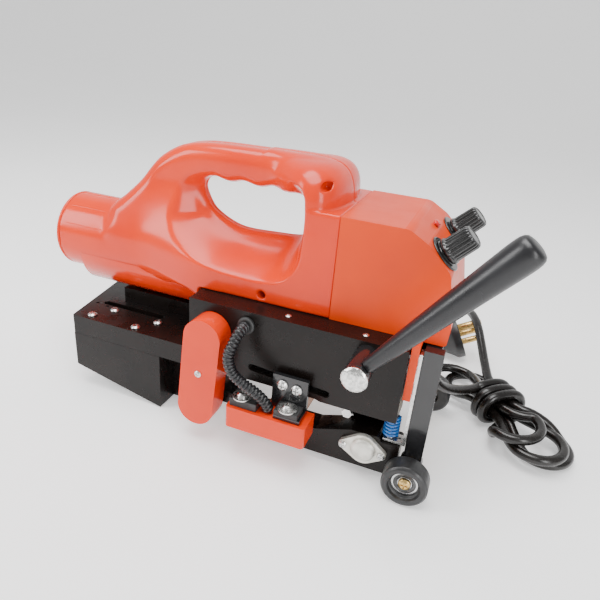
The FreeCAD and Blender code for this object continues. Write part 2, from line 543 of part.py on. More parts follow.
# The hot wedge and everything that slides with it.
def make_wedge():
    slider = box((-11.5, 11.5), (-4, 22), (-3.2, 3.2))
    slider.rotate(V(0, 0, 0), V(0, 1, 0), math.degrees(TILT))
    slider.translate(V(99.5, 0, -54.2 - (99.5 - 94.5) * math.tan(TILT)))
    plate = box((84, 115), (-8, -4), (-77, -45.5)).fuse(box((92, 115), (-23, -4), (-77.6, -74)))
    bolts = (V(93, -8, -54.0), V(105.7, -8, -55.2))
    for at in bolts:
        plate = plate.cut(rod_y(at, 2.5, (-9, 1)))
        slider = slider.cut(rod_y(at, 2.5, (-5, 12)))
    keep("wedge_bracket", joined([plate, slider]))
    screws = [cross_screw(at, V(0, -1, 0), 4.7, 3.0, 2.5, 14) for at in bolts]
    tray = plan_plate([(49.7, -1.5, 0), (49.7, -26, 3), (121, -26, 3), (121, -1.5, 0)], (-98, -78))
    tray = tray.cut(box((52, 118.7), (-23.8, -1), (-95.7, -80.3)))
    keep("heater_tray", tray)
    blocks = [box((52, 76.5), (-23, -6), (-77.9, -70.5)), box((92, 113), (-23, -8.2), (-73.9, -69.5))]
    keep("insulator_blocks", blocks)
    for x, z in ((61.2, -70.5), (102.0, -69.5)):
        washer = rod_z(x, -16.8, 8.3, (z, z + 1.2)).cut(rod_z(x, -16.8, 2.2, (z - 1, z + 2)))
        screws += [washer, cross_screw(V(x, -16.8, z + 1.2), V(0, 0, 1), 4.6, 3.0, 2.2, 1.2)]
    keep("wedge_fasteners", screws)

    arm = box((78, 108), (-22, 42), (-92, -81))
    lean = math.tan(TILT)
    tip = NIP.x + 9 + WEDGE_TRAVEL
    middle = [NIP.z - (x - NIP.x) * lean for x in (tip, tip + 30, 121)]
    wedge = side_plate([(tip, middle[0] + 1.4, 1), (tip + 30, middle[1] + 8.5, 3), (121, middle[2] + 8.5, 2),
                        (121, middle[2] - 8.5, 2), (tip + 30, middle[1] - 8.5, 3), (tip, middle[0] - 1.4, 1)], (41, 116))
    wedge = joined([wedge, arm])
    heaters = []
    for x in (92, 110):
        at = V(x, 0, NIP.z - (x - NIP.x) * lean)
        wedge = wedge.cut(rod_y(at, 4 + FIT, (46, 117)))
        heaters.append(rod_y(at, 4, (46.2, 115.5)))
    keep("hot_wedge", wedge)
    keep("cartridge_heaters", heaters)


# Running gear at the control end.
def make_wheels():
    axle_z = FLOOR + WHEEL_R
    axle = V(WHEEL_X, 0, axle_z)
    leg = box((198, 213), (10, 20), (axle_z - 8, -1)).fuse(rod_y(axle, 9.5, (10, 20)))
    leg = leg.cut(rod_y(axle, SHAFT_R, (9, 21)))
    keep("wheel_leg", joined([leg, box((198, 210), (19, 60), (-PLATE_T, -1.2))]))
    ends = (NEAR_WHEEL_Y[0] + 5, FAR_WHEEL_Y[1] - 5)
    heads = [cross_screw(V(axle.x, ends[0], axle.z), V(0, -1, 0), 5.2, 2.4, 2.0, 0.2),
             cross_screw(V(axle.x, ends[1], axle.z), V(0, 1, 0), 5.2, 2.4, 2.0, 0.2)]
    keep("wheel_axle", joined([rod_y(axle, SHAFT_R, ends)] + heads))
    for side, y in (("near", NEAR_WHEEL_Y), ("far", FAR_WHEEL_Y)):
        outside, inward = (y[0], V(0, 1, 0)) if side == "near" else (y[1], V(0, -1, 0))
        bearing_y = (y[0] + 5.5, y[0] + 5.5 + BEARING_W)
        if side == "far":
            bearing_y = (y[1] - 5.5 - BEARING_W, y[1] - 5.5)
        tyre = turned([(BEARING_R, 5.5), (BEARING_R, 12.5), (8, 12.5), (8, 18), (WHEEL_R - 2.5, 18), (WHEEL_R, 15.5),
                       (WHEEL_R, 2.0), (WHEEL_R - 2, 0), (13.5, 0), (12.5, 3.0), (BEARING_R, 4.0)],
                      V(axle.x, outside, axle.z), inward)
        keep(side + "_wheel_tyre", tyre)
        keep(side + "_wheel_bearing", ring_y(axle, BEARING_R, SHAFT_R + FIT, bearing_y))


# Cables: the heater conduit on the side and the mains lead, tied in a hank, with its plug.
def make_cables():
    glands = [turned([(3.0, -11.5), (4.8, -11.5), (4.8, 0), (7.5, 0), (7.5, 2.5), (6.2, 3.5), (3.0, 3.5)],
                     GLAND, V(0, -1, 0))]
    keep("heater_conduit", routed_tube(CONDUIT, 4.6, "heater conduit"))
    glands.append(turned([(4.8, 6), (8, 6), (8, 3.3), (5.9, 3.3), (5.9, 0.1), (9, 0.1), (9, -6), (7.2, -8),
                          (6, -28), (4.8, -28)], CORD_EXIT, V(0, 0, 1)))
    keep("cable_glands", glands)
    keep("power_cord", routed_tube(CORD_ROUTE, CORD_R, "cord from the gland to the hank"), cord=True)
    keep("plug_lead", routed_tube(PLUG_ROUTE, CORD_R, "cord from the hank to the plug"), cord=True)

    ground = FLOOR + 0.3
    slab = plan_plate([(-86, -40, 30), (-86, 40, 30), (-36, 32, 20), (-18, 20, 20), (18, 20, 20), (40, 40, 20),
                       (92, 44, 30), (92, -28, 30), (60, -44, 25), (36, -38, 20), (18, -20, 20), (-18, -20, 20),
                       (-36, -32, 20)], (ground, ground + 27))
    wraps = Part.makeCylinder(HANK_WRAP_R, 36, V(-18, 0, ground + HANK_WRAP_R), V(1, 0, 0))
    hank = slab.fuse(wraps).removeSplitter()
    hank.rotate(V(0, 0, 0), V(0, 0, 1), math.degrees(math.atan2(HANK_WAY.y, HANK_WAY.x)))
    hank.translate(V(HANK_MIDDLE.x, HANK_MIDDLE.y, 0))
    keep("cord_hank", hank, cord=True)

    plug = turned([(0, 0), (PLUG_R, 0), (PLUG_R, PLUG_RIM), (21, 15), (15, 24), (9, 32), (8, PLUG_L), (0, PLUG_L)],
                  PLUG_FACE, -PLUG_WAY)
    keep("plug_body", plug, cord=True)
    side = V(0, 0, 1).cross(PLUG_WAY)
    side.normalize()
    up = PLUG_WAY.cross(side)
    pins = []
    spots = ((side * 9.5 - up * 4, 3.5, 21), (side * -9.5 - up * 4, 3.5, 21), (up * 10, 4.35, 26))
    for offset, radius, length in spots:
        profile = [(0, 0), (radius, 0), (radius, length), (radius - 1.5, length + 2), (0, length + 2)]
        pins.append(turned(profile, PLUG_FACE + offset, PLUG_WAY))
    keep("plug_pins", pins, cord=True)


TOP_SCREWS = ((86.6, 10.1), (152.0, 10.1))
SPRING = V(184.0, 13.5, 0)
WORM = V(0, 59.0, 1.2)
GLAND = V(54.6, 0, -12.0)
PANEL = V(math.sqrt(0.5), 0, math.sqrt(0.5))
LAMP = V(183.0, 72.0, 80.0)
CORD_EXIT = V(200.0, 76.0, 0)
HANK_MIDDLE = V(268.0, 140.0, 0)
HANK_WAY = V(0.683, -0.730, 0)
HANK_WRAP_R = 22.0
PLUG_R = 26.0
PLUG_L = 38.0
PLUG_RIM = 9.0
PLUG_LEAN = math.radians(25)      # it leans on the rear edge of its rim, held up by its lead
PLUG_TURN = math.radians(16)
PLUG_WAY = V(math.cos(PLUG_LEAN) * math.cos(PLUG_TURN), math.cos(PLUG_LEAN) * math.sin(PLUG_TURN),
             math.sin(PLUG_LEAN))
PLUG_FACE = V(218.5, 258.0, FLOOR + 0.3 + PLUG_R * math.cos(PLUG_LEAN) + PLUG_RIM * math.sin(PLUG_LEAN))
PLUG_REAR = PLUG_FACE - PLUG_WAY * PLUG_L
CONDUIT = [V(54.6, -3.6, -12), V(54.6, -13, -12.4), V(53, -21, -19.5), V(50.8, -24.5, -31), V(54, -24.5, -43.5),
           V(63, -23, -52.5), V(74, -21, -59.5), V(82, -18.5, -68), V(85.7, -17, -76.0)]
CORD_ROUTE = [V(200, 76, -28), V(200, 76, -44), V(204, 82, -63.5), V(214.3, 96.5, -81), V(229, 117, -92),
              V(247, 139, -97)]
PLUG_ROUTE = [V(264.5, 151, -104.5), V(259, 164, -103), V(252.5, 187, -98.5), V(245, 215, -89), V(235, 246, -75.3),
              V(224, 275, -74.8), V(212, 302, -87), V(195, 328, -106), V(170, 343, -120), V(142, 342, -124.5),
              V(118, 327, -124.5), V(106, 301, -124.5), V(110, 274, -124.5), V(128, 253, -124.5),
              V(150, 244, -124.5), V(165, 244.3, -123.9), V(177, 246.1, -121.7), PLUG_REAR]

make_frame()
make_housing()
make_control_box()
make_drive()
make_press()
make_wedge()
make_wheels()
make_cables()
keep("frame_screws", frame_screws)

os.makedirs(OUT, exist_ok=True)
for old in os.listdir(OUT):
    os.remove(os.path.join(OUT, old))
for name, shape in nodes.items():
    shape.translate(-ORIGIN)
    shape.exportStep(os.path.join(OUT, name + ".step"))
machine = Part.makeCompound([shape for name, shape in nodes.items() if name not in cord_nodes])
extent = machine.optimalBoundingBox()
print(len(nodes), "nodes; machine from", [round(v, 2) for v in (extent.XMin, extent.YMin, extent.ZMin)],
      "to", [round(v, 2) for v in (extent.XMax, extent.YMax, extent.ZMax)])
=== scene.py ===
# %% [markdown]
# A hand-guided hot-wedge welder joins overlapping sheets of plastic liner. A moulded housing with a loop
# handle sits on a steel frame, which carries two press rollers, a heated wedge and a lever that presses the
# rollers together. The imported model is the fixed frame of this scene: every piece below is made in its
# place, and all but the heater's hose ride on one of the model's bodies. Lengths are measured on the machine
# in millimetres, and place() turns them into metres.

# %% Load the frame
import json
import math
import bpy
import numpy as np
from mathutils import Matrix, Vector


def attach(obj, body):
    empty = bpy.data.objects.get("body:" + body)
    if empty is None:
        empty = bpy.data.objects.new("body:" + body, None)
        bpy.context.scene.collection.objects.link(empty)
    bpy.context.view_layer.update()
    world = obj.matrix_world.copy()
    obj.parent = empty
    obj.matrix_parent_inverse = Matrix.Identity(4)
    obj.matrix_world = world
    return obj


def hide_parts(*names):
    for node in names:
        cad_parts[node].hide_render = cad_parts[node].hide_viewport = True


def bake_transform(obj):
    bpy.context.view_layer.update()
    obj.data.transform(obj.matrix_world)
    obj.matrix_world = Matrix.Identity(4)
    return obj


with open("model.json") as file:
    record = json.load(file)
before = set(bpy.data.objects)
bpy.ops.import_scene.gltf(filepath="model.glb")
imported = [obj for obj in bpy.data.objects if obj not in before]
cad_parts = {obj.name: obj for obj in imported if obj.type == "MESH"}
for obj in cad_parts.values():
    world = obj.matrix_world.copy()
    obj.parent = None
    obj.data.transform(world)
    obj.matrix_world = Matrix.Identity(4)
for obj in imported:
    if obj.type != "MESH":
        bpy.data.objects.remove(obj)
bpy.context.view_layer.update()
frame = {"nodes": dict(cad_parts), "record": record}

nodes = frame["nodes"]
ORIGIN = np.array((43.6, 49.9, -129.5))


def place(x, y, z):
    """A point measured on the machine, in metres in the frame."""
    return tuple((np.array((x, y, z), float) - ORIGIN) / 1000)


# %% [markdown]
# The camera stands in front of the drive side, a little above the machine. It could be aimed at a target
# with a constraint. Three directions at right angles to each other say the same thing in plain numbers, and
# leave nothing that could move it later.

# %% Camera
CAMERA_SPOT = (0.17843, -0.41258, 0.32967)
right = Vector((0.93058334, 0.35684436, 0.08171136))
up = Vector((-0.22091936, 0.36943266, 0.90261517))
back = Vector((0.29190629, -0.85801026, 0.42262171))
camera_data = bpy.data.cameras.new("camera")
camera_data.lens = 32.73
camera_data.sensor_width = 36
camera_data.clip_start = 0.01
camera_data.clip_end = 50
camera = bpy.data.objects.new("camera", camera_data)
turn = Matrix((right, up, back)).transposed().to_4x4()
camera.matrix_world = Matrix.Translation(CAMERA_SPOT) @ turn
bpy.context.scene.collection.objects.link(camera)
bpy.context.scene.camera = camera
print("camera at", tuple(round(v, 3) for v in camera.location))

# %% [markdown]
# Glossy plastic shows what is around it, so the light matters as much as the colour. Small hard lamps would
# leave white dots on the housing. Large soft rectangles above and at both sides leave the broad, gentle
# reflections of a product studio, and an even pale surround fills the shadows.

# %% Surround and lamps
SURROUND_STRENGTH = 0.62
AIM = (0, 0, 0.1)
world = bpy.data.worlds.new("studio")
world.use_nodes = True
surround_light = world.node_tree.nodes["Background"]
surround_light.inputs["Color"].default_value = (1.0, 1.0, 1.0, 1)
surround_light.inputs["Strength"].default_value = SURROUND_STRENGTH
bpy.context.scene.world = world


def lamp(name, spot, aim, size, power):
    """A soft rectangular lamp at spot, pointing at aim."""
    data = bpy.data.lights.new(name, "AREA")
    data.shape = "RECTANGLE"
    data.size, data.size_y = size
    data.energy = power
    obj = bpy.data.objects.new(name, data)
    obj.location = spot
    obj.rotation_mode = "QUATERNION"
    obj.rotation_quaternion = (Vector(aim) - Vector(spot)).to_track_quat("-Z", "Y")
    bpy.context.scene.collection.objects.link(obj)


lamp("lamp_top", (-0.1, -0.1, 1.3), AIM, (1.2, 0.7), 24)
lamp("lamp_left", (-1.1, -0.7, 0.8), AIM, (0.5, 0.9), 14)
lamp("lamp_right", (1.0, -0.8, 0.5), (0.1, 0, 0.1), (0.35, 0.8), 8)
print("lamps:", len(bpy.data.lights))

# %% [markdown]
# A flat floor would end in a visible horizon behind the machine. A paper sweep, which curves up from floor
# to wall in one sheet, has none. It is a single strip of faces that follows that curve.

# %% Paper sweep
SWEEP_R = 1.8
SWEEP_START = 2.2
FLOOR_DROP = 0.0005
FLOOR_HALF_WIDTH = 9
floor_line = [(-4, 0)]
for degrees in range(0, 91, 5):
    level = math.radians(degrees)
    floor_line.append((SWEEP_START + SWEEP_R * math.sin(level), SWEEP_R - SWEEP_R * math.cos(level)))
floor_line.append((4.0, 7.0))
floor_verts = [(x, y, z - FLOOR_DROP) for y, z in floor_line for x in (-FLOOR_HALF_WIDTH, FLOOR_HALF_WIDTH)]
floor_faces = [(2 * k, 2 * k + 1, 2 * k + 3, 2 * k + 2) for k in range(len(floor_line) - 1)]
floor_mesh = bpy.data.meshes.new("floor")
floor_mesh.from_pydata(floor_verts, [], floor_faces)
floor_mesh.polygons.foreach_set("use_smooth", [True] * len(floor_mesh.polygons))
floor = bpy.data.objects.new("floor", floor_mesh)
bpy.context.scene.collection.objects.link(floor)
print("floor strips:", len(floor_faces))

# %% [markdown]
# No real surface is one even colour and gloss. Moulded plastic has a faint orange-peel, anodised metal a
# fine grain, and rubber has scuffs. Painted image maps could show that, but they need unwrapping and blur
# close up. A noise in the piece's own space is sharp at any distance, so two small helpers make one and map
# it to a range of colours or greys.

# %% Noise helpers
def ramp(tree, source, low, high, start=0.35, end=0.65):
    """Maps a noise to a range between two colours or greys."""
    node = tree.nodes.new("ShaderNodeValToRGB")
    node.color_ramp.elements[0].position = start
    node.color_ramp.elements[1].position = end
    for element, value in zip(node.color_ramp.elements, (low, high)):
        element.color = (value, value, value, 1) if isinstance(value, float) else (*value, 1)
    tree.links.new(source, node.inputs["Fac"])
    return node.outputs["Color"]


def noise(tree, scale, detail):
    """A noise in the piece's own coordinates; scale counts its features per metre."""
    where = tree.nodes.new("ShaderNodeTexCoord")
    node = tree.nodes.new("ShaderNodeTexNoise")
    node.inputs["Scale"].default_value = scale
    node.inputs["Detail"].default_value = detail
    tree.links.new(where.outputs["Object"], node.inputs["Vector"])
    return node.outputs["Fac"]


print("noise helpers ready")

# %% [markdown]
# One shader recipe serves every finish. A broad noise varies the colour, a slightly finer one varies the
# gloss, and a very fine one lifts the surface as a bump. Metal, clear coat and specular level are the same
# all over a piece, so they are set straight on the shader.

# %% Finish recipe
BUMP_HEIGHT = 0.0005
COAT_ROUGHNESS = 0.08
GLOSS_RATIO = 2.3


def finish_of(name, dark, light, rough, metal=0.0, coat=0.0, grain=(900, 0.05), blotch=40, specular=0.5):
    """One finish: colour and gloss vary over the piece, and a fine grain lifts its surface."""
    made = bpy.data.materials.new(name)
    made.use_nodes = True
    tree = made.node_tree
    shader = tree.nodes["Principled BSDF"]
    shader.inputs["Metallic"].default_value = metal
    shader.inputs["Coat Weight"].default_value = coat
    shader.inputs["Coat Roughness"].default_value = COAT_ROUGHNESS
    shader.inputs["Specular IOR Level"].default_value = specular
    colour = ramp(tree, noise(tree, blotch, 4.0), dark, light)
    tree.links.new(colour, shader.inputs["Base Color"])
    gloss = ramp(tree, noise(tree, blotch * GLOSS_RATIO, 3.0), rough[0], rough[1])
    tree.links.new(gloss, shader.inputs["Roughness"])
    bump = tree.nodes.new("ShaderNodeBump")
    bump.inputs["Strength"].default_value = grain[1]
    bump.inputs["Distance"].default_value = BUMP_HEIGHT
    tree.links.new(noise(tree, grain[0], 2.0), bump.inputs["Height"])
    tree.links.new(bump.outputs["Normal"], shader.inputs["Normal"])
    made.diffuse_color = (*light, 1)
    return made


FINISH = {}


def add_finish(name, dark, light, rough, **rest):
    """Keeps a finish under the name of the material slot that it dresses."""
    FINISH[name] = finish_of(name, dark, light, rough, **rest)


print("finish recipe ready")

# %% [markdown]
# The housing mouldings are glossy orange plastic. The control box, the heater tray and the covers are the
# same colour with a duller, finely eroded surface, so they have a rougher finish and a little more yellow.

# %% Orange plastics
add_finish("orange_plastic", (0.66, 0.026, 0.0), (0.72, 0.034, 0.0), (0.15, 0.23), specular=0.3, coat=0.1,
           grain=(420, 0.05), blotch=18)
add_finish("orange_plastic_box", (0.64, 0.040, 0.0), (0.70, 0.050, 0.0), (0.32, 0.40), specular=0.25,
           grain=(1500, 0.10), blotch=16)
print("orange finishes:", sorted(FINISH))

# %% [markdown]
# Most of the machine is black, and the blacks differ only in their gloss. Anodised frame plates are satin,
# the pressed steel parts are lacquered, the knobs shine, the grip and the tyres are dull. A true zero would
# look like a hole, so each black keeps a little grey.

# %% Blacks
add_finish("black_anodised", (0.005, 0.0035, 0.003), (0.009, 0.006, 0.005), (0.24, 0.34), specular=0.22,
           grain=(2600, 0.05), blotch=30)
add_finish("black_lacquer", (0.008, 0.008, 0.009), (0.014, 0.014, 0.015), (0.14, 0.24), coat=0.3,
           grain=(600, 0.05), blotch=30)
add_finish("black_gloss_plastic", (0.008, 0.008, 0.008), (0.014, 0.014, 0.014), (0.10, 0.2), coat=0.3,
           grain=(500, 0.04), blotch=60)
add_finish("black_matte_plastic", (0.014, 0.014, 0.014), (0.024, 0.024, 0.024), (0.45, 0.6),
           grain=(1600, 0.2), blotch=60)
add_finish("grip_plastic", (0.006, 0.006, 0.007), (0.010, 0.010, 0.012), (0.25, 0.34),
           grain=(2200, 0.12), blotch=24)
add_finish("tyre_rubber", (0.012, 0.012, 0.0125), (0.022, 0.022, 0.023), (0.32, 0.46),
           grain=(1500, 0.15), blotch=140)
add_finish("black_rubber", (0.005, 0.004, 0.0035), (0.009, 0.007, 0.006), (0.18, 0.3),
           grain=(1100, 0.08), blotch=60)
add_finish("grey_plug", (0.012, 0.012, 0.013), (0.020, 0.020, 0.021), (0.3, 0.42),
           grain=(1500, 0.12), blotch=70)
print("finishes so far:", len(FINISH))

# %% [markdown]
# Bare metals take their colour from their reflections, so they are fully metallic, with a bright base
# colour and a gloss that varies. Zinc plate and the lever's chrome cap are the liveliest, with small
# blotches. Cast aluminium is rougher and only partly metallic, because its skin is oxidised.

# %% Metals
add_finish("zinc_steel", (0.55, 0.55, 0.54), (0.74, 0.73, 0.71), (0.22, 0.36), metal=1.0,
           grain=(1800, 0.12), blotch=160)
add_finish("bearing_steel", (0.50, 0.50, 0.51), (0.66, 0.66, 0.66), (0.16, 0.28), metal=1.0,
           grain=(1800, 0.06), blotch=120)
add_finish("roller_steel", (0.38, 0.38, 0.38), (0.55, 0.55, 0.54), (0.28, 0.40), metal=1.0,
           grain=(1500, 0.3), blotch=200)
add_finish("chrome_cap", (0.52, 0.52, 0.50), (0.86, 0.85, 0.82), (0.12, 0.34), metal=1.0,
           grain=(500, 0.5), blotch=420)
add_finish("cast_aluminium", (0.62, 0.60, 0.54), (0.80, 0.78, 0.72), (0.40, 0.55), metal=0.7,
           grain=(900, 0.35), blotch=120)
add_finish("brass_fitting", (0.55, 0.36, 0.12), (0.72, 0.50, 0.20), (0.24, 0.38), metal=1.0,
           grain=(1500, 0.1), blotch=140)
add_finish("copper_wedge", (0.42, 0.20, 0.11), (0.66, 0.36, 0.22), (0.3, 0.5), metal=1.0,
           grain=(900, 0.15), blotch=70)
print("finishes so far:", len(FINISH))

# %% [markdown]
# A few small pieces carry a colour of their own: the painted pressure spring, the red lamp and the green
# circuit board. The paper of the floor glows faintly, so that it stays nearly white without stronger lamps,
# which would wash out the housing.

# %% Small colours and the paper
add_finish("blue_spring", (0.006, 0.09, 0.33), (0.012, 0.13, 0.42), (0.22, 0.34), coat=0.3,
           grain=(900, 0.08), blotch=90)
add_finish("lamp_red", (0.50, 0.008, 0.008), (0.62, 0.015, 0.012), (0.08, 0.14), coat=0.5,
           grain=(700, 0.03), blotch=200)
add_finish("circuit_board", (0.008, 0.11, 0.04), (0.02, 0.17, 0.06), (0.3, 0.45),
           grain=(1500, 0.2), blotch=120)
PAPER_GLOW = 0.45
paper = finish_of("floor_paper", (0.86, 0.86, 0.86), (0.88, 0.88, 0.88), (0.7, 0.8), grain=(60, 0.02),
                  blotch=3)
paper_shader = paper.node_tree.nodes["Principled BSDF"]
paper_shader.inputs["Emission Color"].default_value = (1, 1, 1, 1)
paper_shader.inputs["Emission Strength"].default_value = PAPER_GLOW
floor_mesh.materials.append(paper)
print("finishes in all:", len(FINISH))

# %% [markdown]
# Plates, shafts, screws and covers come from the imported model, which already has their true shape. Their
# edges could be modelled again with fillets. A bevel modifier is enough, because all that is missing is the
# narrow bright line along an edge that no real edge is without. Corners of the model are split where faces
# meet, so a weld joins them first. The mouldings, the conduit and the lead are made anew further down.

# %% Pieces kept from the model
slots = {entry["node"]: entry["material_slot"] for entry in frame["record"]["subparts"]}
REMADE = ("power_cord", "plug_lead", "cord_hank", "heater_conduit", "handle_shell_front",
          "handle_shell_rear")
PLAIN_EDGE = 0.25
EDGE = {
    "control_box_shell": 2.6, "heater_tray": 1.6, "chain_cover": 1.6, "lower_motor_cover": 1.2,
    "motor_end_cap": 1.0, "main_frame": 0.5, "nose_plate": 0.5, "nose_block": 0.5, "insulator_blocks": 0.7,
    "press_arm": 0.5, "wheel_leg": 0.8, "lever_shaft": 0.4, "near_wheel_tyre": 0.5, "far_wheel_tyre": 0.5,
}


def break_edges(obj, width, segments, sharpest):
    """Rounds every edge of a piece that turns by more than sharpest degrees; width is in metres."""
    bevel = obj.modifiers.new("edges", "BEVEL")
    bevel.width = width
    bevel.segments = segments
    bevel.limit_method = "ANGLE"
    bevel.angle_limit = math.radians(sharpest)
    bevel.harden_normals = True


for name, node in nodes.items():
    node.data.materials.clear()
    node.data.materials.append(FINISH[slots[name]])
    weld = node.modifiers.new("join_corners", "WELD")
    weld.merge_threshold = 0.00001
    if name not in REMADE:
        break_edges(node, EDGE.get(name, PLAIN_EDGE) / 1000, 3 if EDGE.get(name, 0) > 1 else 2, 35)
print("pieces with broken edges:", len(nodes) - len(REMADE))

# %% [markdown]
# The mains lead leaves its gland under the control box, runs down to a tied hank on the floor and ends in a
# plug. A real lead is one length of round cable, so it is one curve with a round section, and its points
# are laid where it hangs free. They are the same points that the model's plain tube follows.

# %% Free stretches of the lead
CORD_START = [(200, 76, -28), (200, 76, -44), (204, 82, -63.5), (214.3, 96.5, -81), (229, 117, -92)]
CORD_END = [
    (259, 164, -103), (252.5, 187, -98.5), (245, 215, -89), (235, 246, -75.3), (224, 275, -74.8),
    (212, 302, -87), (195, 328, -106), (170, 343, -120), (142, 342, -124.5), (118, 327, -124.5),
    (106, 301, -124.5), (110, 274, -124.5), (128, 253, -124.5), (150, 244, -124.5), (165, 244.3, -123.9),
    (177, 246.1, -121.7),
]
PLUG_WAY = np.array((0.8712, 0.2498, 0.4226))
PLUG_FACE = np.array((218.5, 258.0, -101.84))
PLUG_LENGTH = 38
PLUG_REAR = PLUG_FACE - PLUG_WAY * PLUG_LENGTH
print("free points:", len(CORD_START) + len(CORD_END) + 1)

# %% [markdown]
# The spare length is a hank: loops folded back and forth, then bound at the waist by its own end. It could
# be a simulation of a falling rope, but a hank keeps the shape that the hand gave it. So it is written in
# its own directions (along, aside and height), with half a turn at each end of a loop, and the binding is a
# loop of code that winds a flattened circle round the waist.

# %% Hank
HANK_MIDDLE = np.array((268.0, 140.0))
HANK_WAY = np.array((0.683, -0.730))
HANK_SIDE = np.array((0.730, 0.683))
FLOOR_Z = -129.2
BINDING_START = 140
BINDING_TURN = 950
BINDING_STEPS = 36
BINDING_LENGTH = 26.8
BINDING_ROUNDNESS = 0.8


def hank_point(along, aside, height):
    """A point of the hank in the machine's directions."""
    spot = HANK_MIDDLE + HANK_WAY * along + HANK_SIDE * aside
    return (spot[0], spot[1], FLOOR_Z + height)


def flattened(size, share):
    """A sine or cosine with its round top flattened, times a size."""
    return math.copysign(size * abs(share) ** BINDING_ROUNDNESS, share)


def loop_end(side, first, last, reach, low, high):
    """Half a turn at one end of the hank, from one aside place to another."""
    radius = abs(last - first) / 2
    out = []
    for k in range(7):
        angle = math.radians(-90 + 30 * k)
        along = side * (reach - radius + radius * math.cos(angle))
        aside = (first + last) / 2 + (last - first) / 2 * math.sin(angle)
        out.append((along, aside, low + (high - low) * k / 6))
    return out


wound = []
for i in range(BINDING_STEPS + 1):
    angle = math.radians(BINDING_START - BINDING_TURN * i / BINDING_STEPS)
    along = -BINDING_LENGTH / 2 + BINDING_LENGTH * i / BINDING_STEPS
    wound.append((along, flattened(21.9, math.cos(angle)), 20.4 + flattened(15.8, math.sin(angle))))
wound += [(21, -17, 6), (33, -30, 14)] + loop_end(1, -37, 13, 62, 24, 27)
wound += [(32, 4, 25.5), (18, -4.85, 24.6), (-18, -4.85, 24.6), (-33, 6, 19)]
wound += loop_end(-1, 15, -36, 80, 14.6, 14.6)
wound += [(-36, -24, 14.6), (-18, -9.7, 16), (18, -9.7, 16), (34, -18, 15)]
wound += loop_end(1, -27, 25, 82, 15.2, 15.8)
wound += [(36, 20, 14.6), (18, 9.7, 16), (-18, 9.7, 16), (-36, 24, 9)]
wound += loop_end(-1, 36, -15, 74, 5, 5)
wound += [(-34, -9, 8), (-18, 0, 16), (18, 0, 16), (34, -4, 9)]
wound += loop_end(1, -12, 36, 80, 5, 6)
wound += [(43, 30, 18), (30, 17, 26), (18, 7, 25.5)]
print("hank points:", len(wound))

# %% [markdown]
# A NURBS curve passes smoothly beside its points, as a stiff cable does, and its round section comes from
# the curve's own bevel. The whole lead is one spline, so its thickness and its length can be measured.

# %% Mains lead
CORD_THICKNESS = 0.0095
route = CORD_START + [hank_point(*p) for p in wound] + CORD_END + [tuple(PLUG_REAR)]
cord_data = bpy.data.curves.new("mains_lead", "CURVE")
cord_data.dimensions = "3D"
cord_data.bevel_depth = CORD_THICKNESS / 2
cord_data.bevel_resolution = 5
cord_data.resolution_u = 8
cord_data.use_fill_caps = True
spline = cord_data.splines.new("NURBS")
spline.points.add(len(route) - 1)
for point, spot in zip(spline.points, route):
    point.co = (*place(*spot), 1)
spline.order_u = 3
spline.use_endpoint_u = True
cord_data.materials.append(FINISH["black_rubber"])
lead = bpy.data.objects.new("mains_lead", cord_data)
bpy.context.scene.collection.objects.link(lead)
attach(lead, "root")
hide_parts("power_cord", "cord_hank", "plug_lead")
print("lead route has", len(route), "points")

# %% [markdown]
# Knobs, grips, bearings and the plug are all turned shapes. A screw modifier could spin their outlines, but
# flutes need the radius to change with the angle. So one helper adds a piece to the scene, and a second
# spins a list of (radius, height) pairs about an axis, with an optional ripple.

# %% Piece and lathe helpers
TURNED_EDGE = 0.0002


def mesh_piece(name, verts, faces, finishes, body, groups=None):
    """A new smooth piece from points in the frame, riding on a body."""
    data = bpy.data.meshes.new(name)
    data.from_pydata([tuple(v) for v in verts], [], [tuple(f) for f in faces])
    for entry in finishes:
        data.materials.append(entry)
    if groups is not None:
        data.polygons.foreach_set("material_index", np.array(groups, dtype=np.int32))
    data.polygons.foreach_set("use_smooth", [True] * len(data.polygons))
    data.update()
    obj = bpy.data.objects.new(name, data)
    bpy.context.scene.collection.objects.link(obj)
    if body:
        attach(obj, body)
    return obj


def tube_faces(rows, count, closed=False):
    """The faces between rows of count points; a closed tube joins its last row to its first."""
    out = []
    for row in range(rows if closed else rows - 1):
        after = (row + 1) % rows
        for k in range(count):
            n = (k + 1) % count
            out.append((row * count + k, row * count + n, after * count + n, after * count + k))
    return out


def add_ends(faces, rows, count):
    """Closes a tube with a face at its first row and one at its last."""
    start = (rows - 1) * count
    faces.append(tuple(range(count - 1, -1, -1)))
    faces.append(tuple(range(start, start + count)))


def lathe(name, at, axis, profile, finishes, body, segments=96, flutes=None, bands=None):
    """Spins a (radius, height) profile about an axis through at.

    flutes is (count, depth, from row, to row), and bands holds a finish number for each row. A profile whose
    last pair repeats its first is a ring with a bore."""
    axis = Vector(axis).normalized()
    side = axis.orthogonal().normalized()
    other = axis.cross(side)
    closed = profile[0] == profile[-1]
    profile = profile[:-1] if closed else profile
    bands = bands or [0] * len(profile)
    verts = []
    for row, (radius, height) in enumerate(profile):
        for k in range(segments):
            angle = 2 * math.pi * k / segments
            r = radius
            if flutes and flutes[2] <= row <= flutes[3]:
                r -= flutes[1] * (0.5 - 0.5 * math.cos(flutes[0] * angle)) ** 2
            out = np.array(side) * r * math.cos(angle) + np.array(other) * r * math.sin(angle)
            verts.append(place(*(np.array(at) + np.array(axis) * height + out)))
    faces = tube_faces(len(profile), segments, closed)
    groups = [bands[k // segments] for k in range(len(faces))]
    if not closed:
        add_ends(faces, len(profile), segments)
        groups += [bands[0], bands[-1]]
    obj = mesh_piece(name, verts, faces, finishes, body, groups)
    break_edges(obj, TURNED_EDGE, 2, 32)
    return obj


print("helpers ready")

